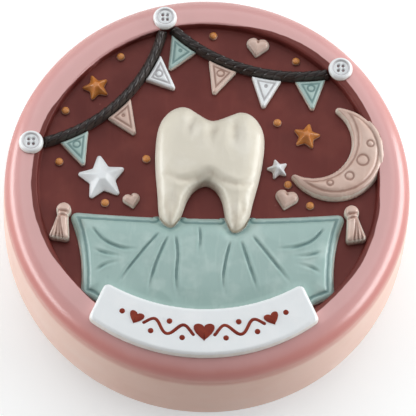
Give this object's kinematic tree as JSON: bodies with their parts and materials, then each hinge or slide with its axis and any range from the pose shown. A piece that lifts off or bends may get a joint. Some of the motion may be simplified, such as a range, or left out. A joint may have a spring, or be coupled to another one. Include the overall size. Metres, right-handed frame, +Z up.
{
  "type": "keepsake box",
  "caption": "Small round keepsake box: a low bellied cup and a lift-off lid with a rounded rim, a sunk field and raised painted relief.",
  "frame": {"origin": "centre of the flat underside of the cup, on the surface that the box stands on", "axes": "+Z up, along the box's round axis; +Y towards the top of the lid's picture, so the banner is at -Y, which is the front; +X to the right of the picture"},
  "size_m": [0.061, 0.061, 0.0241],
  "materials": {
    "cup_cream": "hand-painted cast resin under a satin lacquer",
    "lid_pink": "hand-painted cast resin under a satin lacquer",
    "field_dark_red": "hand-painted cast resin under a satin lacquer",
    "relief_white": "hand-painted cast resin under a satin lacquer",
    "relief_ivory": "hand-painted cast resin under a satin lacquer",
    "relief_sea_green": "hand-painted cast resin under a satin lacquer",
    "relief_blush": "hand-painted cast resin under a satin lacquer",
    "relief_brown": "hand-painted cast resin under a satin lacquer",
    "relief_mustard": "hand-painted cast resin under a satin lacquer"
  },
  "bodies": {
    "base": {"base_cup": "cup_cream"},
    "lid": {"lid_shell": "lid_pink", "ground_panel": "field_dark_red", "banner": "relief_white", "tooth": "relief_ivory", "pillow": "relief_sea_green", "pillow_tassel_left": "relief_blush", "pillow_tassel_right": "relief_blush", "moon": "relief_blush", "star_large": "relief_white", "star_high": "relief_mustard", "star_in_moon": "relief_mustard", "star_by_tooth": "relief_white", "heart_left": "relief_blush", "heart_right": "relief_blush", "heart_high": "relief_blush", "garland_button_left": "relief_white", "garland_button_top": "relief_white", "garland_button_right": "relief_white", "garland_cord": "relief_brown", "pennant_1": "relief_sea_green", "pennant_2": "relief_blush", "pennant_3": "relief_white", "pennant_4": "relief_sea_green", "pennant_5": "relief_blush", "pennant_6": "relief_white", "pennant_7": "relief_sea_green", "gold_dots": "relief_mustard"}
  },
  "joints": [
    {"name": "lid_lift", "type": "slide", "parent": "base", "child": "lid", "axis": [0, 0, 1], "range_m": [0, 0.04]}
  ]
}
